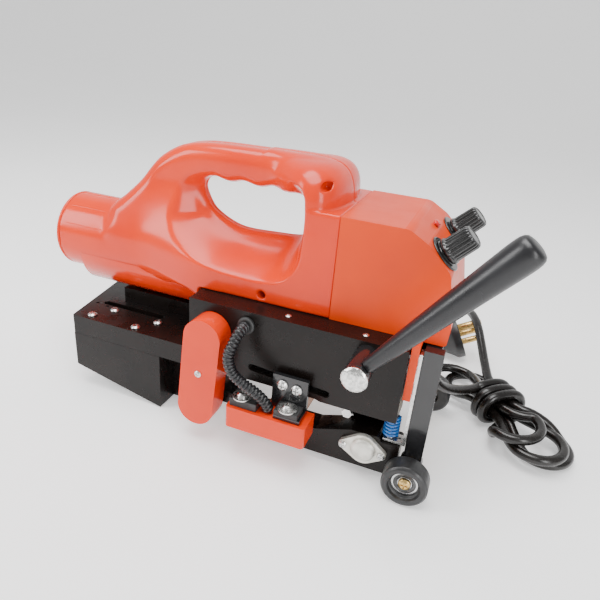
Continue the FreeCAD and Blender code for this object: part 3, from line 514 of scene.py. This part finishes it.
# %% [markdown]
# The speed and temperature knobs are moulded with twenty flutes that a finger can turn, a collar at the
# foot and a polished disc let into the top. They stand at right angles to the sloping panel.

# %% Knobs
PANEL = (math.sqrt(0.5), 0, math.sqrt(0.5))
polished = finish_of("polished_top", (0.10, 0.10, 0.10), (0.16, 0.16, 0.16), (0.12, 0.2), metal=1.0,
                     grain=(300, 0.02), blotch=60)
KNOB = [(3.0, -11), (3.0, 3), (10.6, 3), (10.9, 3.6), (10.9, 5.2), (10.2, 6.0), (9.9, 7.5), (9.5, 23.2),
        (9.1, 24.6), (8.2, 25.6), (7.2, 25.9), (7.0, 25.4), (0.02, 25.4)]
FLUTES = (20, 1.0, 6, 8)
for name, y in (("speed_knob", 40), ("temperature_knob", 103)):
    knob = lathe("dressed_" + name, (196, y, 67), PANEL, KNOB, [FINISH["black_gloss_plastic"], polished],
                 name, 180, FLUTES, [0] * 11 + [1, 1])
    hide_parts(name)
print("knobs made, flutes on each:", FLUTES[0])

# %% [markdown]
# The lever's grip is a slim plastic handle that thickens towards a round end, so that the hand doesn't slip
# off. Its swelling is a smooth curve with a few extra points for the neck and the end.

# %% Lever grip
LEVER = np.array((157.0, -27.0, -12.0))
LEVER_WAY = (math.cos(math.radians(51)), 0, math.sin(math.radians(51)))
grip_profile = [(3.0, 6.2), (3.0, 10.6), (5.6, 10.6), (5.75, 11.2), (5.8, 16)]
for k in range(15):
    t = k / 14
    grip_profile.append((5.9 + 5.3 * (t ** 0.9), 20 + 116 * t))
grip_profile += [(11.25, 139), (11.2, 143), (10.9, 146), (10.1, 148.6), (8.6, 150.2), (6.0, 151.0)]
grip_profile.append((0.02, 151.2))
grip = lathe("dressed_grip", LEVER, LEVER_WAY, grip_profile, [FINISH["grip_plastic"]], "lever",
             96)
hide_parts("lever_grip")
print("grip rows:", len(grip_profile))

# %% [markdown]
# Each running wheel turns on a small ball bearing, 22 mm across. What shows of it is a bright inner and
# outer ring with a darker sealing shield sunk between them. The profile goes once round the whole section,
# so the bearing is a closed ring with a bore, and the shield is a second finish on the rows between the
# rings.

# %% Wheel bearings
shield = finish_of("bearing_shield", (0.06, 0.06, 0.06), (0.12, 0.12, 0.12), (0.25, 0.4), metal=1.0,
                   grain=(900, 0.2), blotch=200)
RING = [(4.05, 0.3), (4.3, 0), (6.0, 0), (6.2, 0.5), (6.6, 0.8), (9.0, 0.6), (9.25, 0), (10.8, 0),
        (11.0, 0.25), (11.0, 6.75), (10.8, 7), (9.25, 7), (9.0, 6.4), (6.6, 6.2), (6.2, 6.5), (6.0, 7),
        (4.3, 7), (4.05, 6.7), (4.05, 0.3)]
RING_BANDS = [0, 0, 0, 1, 1, 1, 0, 0, 0, 0, 0, 0, 1, 1, 1, 0, 0, 0]
for side, y in (("near", -12.5), ("far", 127.5)):
    bearing = lathe("dressed_" + side + "_bearing", (204.8, y, -110.4), (0, 1, 0), RING,
                    [FINISH["bearing_steel"], shield], side + "_wheel", 72, None,
                    RING_BANDS)
    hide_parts(side + "_wheel_bearing")
print("bearings made, outer radius", max(r for r, h in RING), "mm")

# %% [markdown]
# The plug is a moulded body with a wide rim round a pale face, which carries the pins. Behind the rim it
# tapers smoothly to the lead, where a real one keeps the cable from kinking. It lies tilted on its rim, so
# its axis follows the lead's last stretch.

# %% Plug
pale_face = finish_of("pale_plug_face", (0.42, 0.42, 0.40), (0.52, 0.52, 0.50), (0.4, 0.5),
                      grain=(1500, 0.12), blotch=60)
PLUG = [(0.02, 0.3), (23.6, 0.3), (24.2, 0), (25.4, 0), (26, 0.8), (26, 8), (25.2, 9.6), (22.5, 12.5),
        (19.8, 16), (16.8, 20.2), (13.6, 25), (11.2, 29), (9.8, 33), (9.0, 36), (8.2, 38), (5.0, 38)]
plug = lathe("dressed_plug", PLUG_FACE, -PLUG_WAY, PLUG, [FINISH["grey_plug"], pale_face], "root",
             72, None, [1, 1, 0] + [0] * 13)
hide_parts("plug_body")
print("plug rows:", len(PLUG))

# %% [markdown]
# Springs, hoses and raised lines are a section carried along a path. A curve with a bevel keeps one radius,
# and a hose's rings need it to change on the way. So the sweep helper asks a function for the radius at
# each distance, and a second helper lays evenly spaced points along a smooth line.

# %% Sweep helpers
SECTION_POINTS = 24


def distances(points):
    """How far along its path each point is."""
    return np.concatenate([[0], np.cumsum(np.linalg.norm(np.diff(points, axis=0), axis=1))])


def sweep(path, section):
    """Carries a round section, whose radius is a function of distance, along a path of close points."""
    path = np.array(path, float)
    ways = np.gradient(path, axis=0)
    ways /= np.linalg.norm(ways, axis=1)[:, None]
    side = np.cross(ways[0], (0.3, 0.9, 0.31))
    side /= np.linalg.norm(side)
    verts = []
    for spot, way, gone in zip(path, ways, distances(path)):
        side = side - way * np.dot(side, way)
        side /= np.linalg.norm(side)
        other = np.cross(way, side)
        r = section(gone)
        for k in range(SECTION_POINTS):
            angle = 2 * math.pi * k / SECTION_POINTS
            verts.append(place(*(spot + side * r * math.cos(angle) + other * r * math.sin(angle))))
    faces = tube_faces(len(path), SECTION_POINTS)
    add_ends(faces, len(path), SECTION_POINTS)
    return verts, faces


def curve_between(a, b, c, d, t):
    """A point between b and c on the smooth curve through a, b, c and d."""
    square = (2 * a - 5 * b + 4 * c - d) * t ** 2
    return 0.5 * (2 * b + (c - a) * t + square + (3 * b - a - 3 * c + d) * t ** 3)


def smooth_path(points, step):
    """Points at an even step along a smooth line through the given ones."""
    points = np.array(points, float)
    padded = np.vstack([2 * points[0] - points[1], points, 2 * points[-1] - points[-2]])
    out = []
    for a, b, c, d in zip(padded, padded[1:], padded[2:], padded[3:]):
        for t in np.linspace(0, 1, 24, endpoint=False):
            out.append(curve_between(a, b, c, d, t))
    out.append(points[-1])
    out = np.array(out)
    gone = distances(out)
    even = np.linspace(0, gone[-1], int(gone[-1] / step) + 1)
    return np.stack([np.interp(even, gone, out[:, i]) for i in range(3)], 1)


print("middle of a straight stretch:", curve_between(0, 1, 2, 3, 0.5))

# %% [markdown]
# Two thin raised lines run along the barrel, left by the mould. A bump in the finish would not catch the
# light at their ends, so each is a real ridge, half sunk in the skin, that fades out over its last few
# millimetres.

# %% Raised lines on the barrel
MID_Y = 72.5
BARREL_Z = 10.1
BARREL_R = 37.5
LINE_REACH = 37.3
LINE_R = 0.55
FADE = 3
for name, degrees, start, end in (("barrel_line_top", 54, -164, -112), ("barrel_line_low", 25, -161, -100)):
    level = math.radians(degrees)
    y = MID_Y - LINE_REACH * math.cos(level)
    z = BARREL_Z + LINE_REACH * math.sin(level)
    spots = [(x, y, z) for x in np.linspace(start, end, 30)]
    length = end - start
    verts, faces = sweep(spots, lambda gone: LINE_R * min(1, (gone + 0.3) / FADE, (length + 0.3 - gone) / FADE))
    mesh_piece(name, verts, faces, [FINISH["orange_plastic"]], "root")
print("raised lines stand", round(LINE_REACH + LINE_R - BARREL_R, 2), "mm proud")

# %% [markdown]
# The pressure spring is a coil of round wire, painted blue. The model holds it as a plain sleeve, so here
# it is wound: a helix of six turns with a round section.

# %% Pressure spring
COIL_TURNS = 6
STEPS_A_TURN = 36
COIL_R = 5.6
WIRE_R = 1.25
coil = []
for k in range(COIL_TURNS * STEPS_A_TURN + 1):
    angle = 2 * math.pi * k / STEPS_A_TURN
    t = k / (COIL_TURNS * STEPS_A_TURN)
    coil.append((184.0 + COIL_R * math.cos(angle), 13.5 + COIL_R * math.sin(angle), -87.0 + 19.7 * t))
verts, faces = sweep(coil, lambda gone: WIRE_R)
spring = mesh_piece("coil_spring", verts, faces, [FINISH["blue_spring"]], "root")
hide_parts("pressure_spring")
print("spring wire", round(distances(np.array(coil))[-1]), "mm")

# %% [markdown]
# The heater's wires run from the frame to the sliding wedge in a corrugated hose. One end is fixed and the
# other travels with the wedge. Here the hose is one piece in its place, riding on no body. Its radius dips in
# a narrow groove between rings, which reads as a real corrugated hose even close up.

# %% Corrugated hose
CONDUIT = [(54.6, -3.6, -12), (54.6, -13, -12.4), (53, -21, -19.5), (50.8, -24.5, -31), (54, -24.5, -43.5),
           (63, -23, -52.5), (74, -21, -59.5), (82, -18.5, -68), (85.7, -17, -76.0)]
HOSE_R = 4.8
GROOVE = 1.1
RING_PITCH = 3.2
HOSE_STEP = 0.3


def hose_radius(gone):
    """The hose's radius at a distance along it, least in the grooves between its rings."""
    return HOSE_R - GROOVE * (0.5 + 0.5 * math.cos(2 * math.pi * gone / RING_PITCH)) ** 3


hose_path = smooth_path(CONDUIT, HOSE_STEP)
verts, faces = sweep(hose_path, hose_radius)
hose = mesh_piece("corrugated_hose", verts, faces, [FINISH["grip_plastic"]], None)
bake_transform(hose)
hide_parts("heater_conduit")
print("hose", round(HOSE_STEP * len(hose_path), 1), "mm")

# %% [markdown]
# The housing is two injection mouldings that meet on the machine's middle plane. Its outside flows from a
# round barrel into a wide body and a loop handle, with a dished surround to the hand opening. Boxes and
# subdivision would need a cage of many hand-placed points. Such a form is simpler as a field: a number at
# every point of space, negative inside the plastic, whose zero is the surface. Forms then join and cut each
# other with a few rules, and every join can be as soft as the real one.

# %% Rules for joining forms
def ease(value, start, end):
    """A smooth step from 0 at start to 1 at end."""
    t = np.clip((value - start) / (end - start), 0, 1)
    return t * t * (3 - 2 * t)


def both(a, b, soft):
    """The overlap of two forms, with its edge rounded by soft."""
    h = np.clip(0.5 + 0.5 * (a - b) / soft, 0, 1)
    return b + (a - b) * h + soft * h * (1 - h)


def either(a, b, soft):
    """The union of two forms, with its corner filled by soft."""
    return -both(-a, -b, soft)


def slab(edge, depth, width, rounding):
    """A plate of half-width width whose outline edge is rounded."""
    across = edge + rounding
    through_y = depth - width + rounding
    outer = np.sqrt(np.maximum(across, 0) ** 2 + np.maximum(through_y, 0) ** 2)
    return np.minimum(np.maximum(across, through_y), 0) + outer - rounding


print("half way up a smooth step:", float(ease(0.5, 0, 1)))

# %% [markdown]
# In the side view the housing has three outlines: its own edge, the edge of the hand opening with four
# waves for the fingers, and the ridge where the dished surround begins. Each is a few corners with a smooth
# curve through them.

# %% Outlines in the side view
WAVE = 1.4
WAVE_PITCH = 28
finger = [(x, 87.3 + WAVE * math.cos(2 * math.pi * (x - 45) / WAVE_PITCH)) for x in range(62, -14, -4)]
handle_line = [
    (-80, 5), (-113, 20), (-114, 40), (-112.9, 50.8), (-102.9, 60.3), (-88.6, 75.1), (-78.2, 88),
    (-68.2, 98.6), (-55.3, 107.5), (-43, 113), (-28, 116.3), (-8, 117.9), (25, 118.5), (62, 118.8),
    (80, 118), (92, 115),
    (101, 109.5), (107.5, 102), (111.2, 93), (112.5, 84), (112.5, 60), (112.5, 0), (112.5, -40), (60, -45),
    (20, -45), (0, -30), (-20, -10),
]
opening_line = [
    (-25.2, 80), (-25.4, 75), (-22.6, 68.2), (-16.5, 59.2), (-5.2, 52), (8.9, 46.8), (23.7, 45.5),
    (47.7, 46.6), (64, 47.6), (72, 49.5), (76, 56), (76.5, 66), (76.5, 76), (75, 83), (69, 87.2),
] + finger + [(-18, 87.2), (-22.8, 84.6)]
ridge_line = [
    (-46, 74), (-50, 52), (-38, 34), (-16, 25.5), (12.3, 20.1), (36.2, 18), (59.4, 18.8), (75.2, 24.2),
    (86, 39), (88.4, 60), (88.6, 84), (86, 98), (76, 104.5), (36, 105), (0, 104.5), (-24, 103), (-39, 93),
]


def through(points, steps=8):
    """A closed smooth outline through the given corners."""
    p = np.array(points, float)
    out = []
    for i in range(len(p)):
        for t in np.arange(steps) / steps:
            out.append(curve_between(p[i - 1], p[i], p[(i + 1) % len(p)], p[(i + 2) % len(p)], t))
    return np.array(out)


def distance_to(outline, x, z):
    """Distance to a closed outline in the side view, negative inside it."""
    nearest = np.full(np.broadcast(x, z).shape, 1e9)
    inside = np.zeros(nearest.shape, bool)
    for a, b in zip(outline, np.roll(outline, -1, axis=0)):
        run = b - a
        t = np.clip(((x - a[0]) * run[0] + (z - a[1]) * run[1]) / max(run @ run, 1e-9), 0, 1)
        nearest = np.minimum(nearest, (x - a[0] - run[0] * t) ** 2 + (z - a[1] - run[1] * t) ** 2)
        crosses = (a[1] > z) != (b[1] > z)
        if a[1] != b[1]:
            inside ^= crosses & (x < a[0] + (z - a[1]) * run[0] / run[1])
    return np.where(inside, -1, 1) * np.sqrt(nearest)


print("outline corners:", len(handle_line), len(opening_line), len(ridge_line))

# %% [markdown]
# The field is sampled on a grid of small cubes. A finer grid would follow the form more closely but cost
# far more points, and 1.25 mm is enough for curves this soft. The mouldings mirror each other, so one half
# of the grid serves both.

# %% Grid and distances in the side view
SKIN = 1.25
low = np.array((-172.0, 19.0, -31.0))
high = np.array((120.0, 74.0, 121.0))
counts = np.ceil((high - low) / SKIN).astype(int) + 1
xs, ys, zs = [low[i] + SKIN * np.arange(counts[i]) for i in range(3)]
x2, z2 = xs[:, None], zs[None, :]
X, Z = xs[:, None, None], zs[None, None, :]
DEPTH = (MID_Y - ys)[None, :, None]
edge_out = distance_to(through(handle_line), x2, z2)
edge_in = distance_to(through(opening_line), x2, z2)
ridge = np.maximum(-distance_to(through(ridge_line), x2, z2), 0)
print("housing grid", tuple(int(n) for n in counts))

# %% [markdown]
# Half-widths come next. The barrel is 75 mm across, the body behind it 102 mm, and the grip 40 mm, because
# a hand has to close round it. The width eases from one to the next along the machine and up the handle.

# %% Widths
BODY_W = 51
GRIP_W = 20
flare = ease(x2, -82, 2)
body_w = BARREL_R + (BODY_W - BARREL_R) * flare
grip_w = GRIP_W + (body_w - GRIP_W) * (1 - ease(z2, 18, 84)) + 0 * x2
dome_share = ease(x2, 40, 88)
full = grip_w * (1 - dome_share) + BODY_W * dome_share
low_share = dome_share * (1 - ease(z2, 66, 84))
wide = grip_w * (1 - low_share) + BODY_W * low_share
print("half-widths from", round(float(wide.min()), 1), "to", round(float(wide.max()), 1), "mm")

# %% [markdown]
# The surround of the hand opening is dished: the plastic is thin at the opening's edge and rises to the
# full width at the ridge. The share t says how far a point is from the edge to the ridge. The dish is crisp
# under the hand, softer at the front, straight up the rear wall, and rounded over like a tube on the grip.

# %% Dish round the hand opening
outside_opening = np.clip(edge_in, 0, None)
t = outside_opening / (outside_opening + ridge + 1e-6)
crisp = ease(x2, -40, 10)
bowl = crisp * t ** 1.5 + (1 - crisp) * t * t * (3 - 2 * t)
upright = ease(x2, 58, 78)
bowl = bowl * (1 - upright) + t * upright
round_over = np.sqrt(np.clip(1 - (1 - t) ** 2, 0, 1))
on_grip = ease(z2, 78, 92) * (1 - ease(x2, 64, 80))
lip = 8.0 + 2.0 * on_grip
dish = lip + (full - lip) * (bowl * (1 - on_grip) + round_over * on_grip)
print("half-width at the opening's edge:", round(float(dish.min()), 1), "mm")

# %% [markdown]
# Four simple forms make the outside: a flat loop with a rounded edge, a dome at the rear of the handle, a
# square block that meets the control box, and a tube that starts as the round barrel and flattens into the
# body. The dome and the tube use powers above two, which make a ball or a circle a little squarer.

# %% Loop, dome and block
loop = slab(edge_out[:, None, :], DEPTH, wide[:, None, :], 14)
dome_w = GRIP_W + (BODY_W - GRIP_W) * ease(X, 40, 87)
dome = (np.maximum(DEPTH, 0) / dome_w) ** 3
dome = dome + (np.maximum(X - 80, 0) / 32.5) ** 3 + (np.maximum(Z - 84, 0) / 34.5) ** 3
dome = np.maximum(np.maximum((dome ** (1 / 3) - 1) * 32, 38 - X), 60 - Z)
block = slab(np.maximum(72 - x2, z2 - 86.3)[:, None, :] + 0 * X, DEPTH, BODY_W, 2.5)
surround = slab(-edge_in[:, None, :], DEPTH, dish[:, None, :], 7.0)
print("loop, dome and block on", loop.size, "points")

# %% Barrel that flattens into the body
mix = ease(X, -80, 0)
half_w = BARREL_R + (BODY_W - BARREL_R) * mix
half_h = BARREL_R - 18.0 * mix
mid_z = BARREL_Z + 8.0 * mix
power = 2 + 2.6 * mix
tube = (np.abs(DEPTH) / half_w) ** power + (np.abs(Z - mid_z) / half_h) ** power
tube = (tube ** (1 / power) - 1) * half_h
tube = both(tube, X - 14, 3)
print("barrel radius", BARREL_R, "mm")

# %% [markdown]
# The forms are joined softly, from the widest fillet to the sharpest, and the dish is cut last. Flat cuts
# then end the housing at the control box, on the frame and at the motor's end cap.

# %% Outside of the housing
WALL = 3.0
BOX_X = 117.5
FRAME_Z = 0.2
FRAME_X = -4
CAP_X = -168
form = either(loop, tube, 9)
form = either(form, dome, 4)
form = either(form, block, 1.5)
form = both(form, surround, 1.5)
inner = form + WALL
form = np.maximum(form, X - BOX_X)
form = np.where(X > FRAME_X, np.maximum(form, FRAME_Z - Z), form)
form = np.maximum(form, CAP_X - X)
print("solid share of the grid:", round(float((form < 0).mean()), 3))

# %% [markdown]
# The mouldings are hollow. The motor fills the barrel, the drive rises into the base, and the wires run
# down inside the rear of the handle. Every hollow stops a wall's thickness short of the outside.

# %% Hollows
barrel_gap = np.maximum(np.sqrt(DEPTH ** 2 + (Z - BARREL_Z) ** 2) - 33.8, X + 30)
base_gap = np.maximum(np.maximum(np.maximum(3 - X, X - 119), DEPTH - 47), Z - 13.5)
drive_gap = np.maximum(np.maximum(np.maximum(-32 - X, X - 5), DEPTH - 31), Z - 13.5)
leg_gap = np.maximum(np.maximum(94 - X, DEPTH - 47), np.maximum(Z - 79, X - 119))
hollow = np.minimum(np.minimum(barrel_gap, np.minimum(base_gap, drive_gap)), leg_gap)
hollow = np.maximum(hollow, inner)
print("hollow share of the grid:", round(float((hollow < 0).mean()), 3))

# %% [markdown]
# Two long screws hold the mouldings together. Each sits in a post inside and at the bottom of a deep round
# pocket on the drive side, so only the near moulding has pockets. The two halves stop just short of the
# middle plane, which leaves the fine dark parting line.

# %% Posts, pockets and parting line
POSTS = ((100.5, 104.0), (56.0, 6.5))
POST_R = 6.5
POCKET_R = 3.6
POCKET_FLOOR = 31
PARTING = 0.12
away = [np.sqrt((X - x) ** 2 + (Z - z) ** 2) for x, z in POSTS]
for distance in away:
    hollow = np.maximum(hollow, POST_R - distance)
shell_near = np.maximum(form, -hollow)
shell_far = np.maximum(shell_near, PARTING - DEPTH)
for distance in away:
    pocket = np.maximum(distance - POCKET_R, POCKET_FLOOR - DEPTH)
    shell_near = np.maximum(shell_near, -pocket)
shell_near = np.maximum(shell_near, PARTING - DEPTH)
print("plastic in the near moulding:", round(float((shell_near < 0).sum()) * SKIN ** 3 / 1000), "cm3")

# %% [markdown]
# The surface is found cell by cell. Wherever an edge of a cube goes from plastic to air, the crossing is
# measured on it, and the mean of a cube's crossings is one point of the mesh. Four cubes share each such
# edge, so their four points make one face. This keeps the mesh even and closed, where a union of many
# solids would leave slivers.

# %% Points of the surface
def crossings(values, inside, cells, axis, a, b):
    """Where one of the edges along an axis crosses the surface, for every cell; a and b say which edge."""
    u, v = [i for i in range(3) if i != axis]
    start = [0, 0, 0]
    start[u] = a
    start[v] = b
    here = tuple(slice(s, s + n) for s, n in zip(start, cells))
    start[axis] += 1
    there = tuple(slice(s, s + n) for s, n in zip(start, cells))
    cross = inside[here] != inside[there]
    return cross, np.where(cross, values[here] / np.where(cross, values[here] - values[there], 1), 0)


def surface_points(values):
    """One point in each cell that the surface passes through, and each cell's point number."""
    cells = np.array(values.shape) - 1
    total = np.zeros((*cells, 3))
    count = np.zeros(cells)
    inside = values < 0
    for axis in range(3):
        u, v = [i for i in range(3) if i != axis]
        for a in (0, 1):
            for b in (0, 1):
                cross, t = crossings(values, inside, cells, axis, a, b)
                total[..., axis] += t
                total[..., u] += cross * a
                total[..., v] += cross * b
                count += cross
    used = count > 0
    index = np.full(cells, -1)
    index[used] = np.arange(used.sum())
    return np.argwhere(used) + total[used] / count[used][:, None], index


ball = np.linalg.norm(np.indices((9, 9, 9)) - 4.0, axis=0) - 2.5
ball_spots, ball_index = surface_points(ball)
print("points on a small test ball:", len(ball_spots))

# %% [markdown]
# A face needs its corners in the right order, or it shows its inner side. The field says which end of the
# edge is plastic, and where that is the far end the order is reversed.

# %% Faces of the surface
def surface_faces(values, index):
    """A face round every grid edge that crosses the surface, seen from outside."""
    inside = values < 0
    faces = []
    for axis in range(3):
        u, v = (axis + 1) % 3, (axis + 2) % 3
        here = [slice(1, -1)] * 3
        there = [slice(1, -1)] * 3
        here[axis] = slice(0, -1)
        there[axis] = slice(1, None)
        first, second = inside[tuple(here)], inside[tuple(there)]
        at = np.argwhere(first != second)
        outward = first[tuple(at.T)]
        at[:, u] += 1
        at[:, v] += 1
        corners = []
        for du, dv in ((-1, -1), (0, -1), (0, 0), (-1, 0)):
            c = at.copy()
            c[:, u] += du
            c[:, v] += dv
            corners.append(index[tuple(c.T)])
        quads = np.stack(corners, 1)
        quads[~outward] = quads[~outward][:, ::-1]
        faces.append(quads)
    return np.vstack(faces)


print("faces on the test ball:", len(surface_faces(ball, ball_index)))

# %% [markdown]
# Flat faces 1.25 mm wide would show in a glossy reflection. The field itself knows which way is outward at
# every point, since it grows fastest in that direction. That direction is read from the grid for each point
# and given to the mesh, so the reflections run smoothly over it.

# %% Outward directions
def outward_ways(values, spots):
    """The direction in which the field grows fastest, at each point of the surface."""
    slopes = np.gradient(values)
    base = np.clip(np.floor(spots).astype(int), 0, np.array(values.shape) - 2)
    part = spots - base
    ways = np.zeros((len(spots), 3))
    for corner in range(8):
        offset = np.array([(corner >> i) & 1 for i in range(3)])
        weight = np.prod(np.where(offset, part, 1 - part), axis=1)
        at = tuple((base + offset).T)
        for i in range(3):
            ways[:, i] += weight * slopes[i][at]
    return ways / np.maximum(np.linalg.norm(ways, axis=1), 1e-9)[:, None]


print("outward at the ball's first point:", outward_ways(ball, ball_spots)[0].round(2))

# %% [markdown]
# The far moulding is made on the near side and mirrored over the middle plane. Mirroring turns faces inside
# out, so their corners are taken in the opposite order.

# %% Two mouldings
def housing_half(name, values, mirrored):
    """One moulding of the housing from its field."""
    spots, index = surface_points(values)
    quads = surface_faces(values, index)
    ways = outward_ways(values, spots)
    spots = low + spots * SKIN
    if mirrored:
        spots[:, 1] = 2 * MID_Y - spots[:, 1]
        ways[:, 1] *= -1
        quads = quads[:, ::-1]
    spots = (spots - ORIGIN) / 1000
    obj = mesh_piece(name, spots, quads, [FINISH["orange_plastic"]], "root")
    obj.data.normals_split_custom_set_from_vertices(ways.tolist())
    print(name, len(spots), "points")
    return obj


front = housing_half("moulding_near", shell_near, False)
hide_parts("handle_shell_front")
rear = housing_half("moulding_far", shell_far, True)
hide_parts("handle_shell_rear")
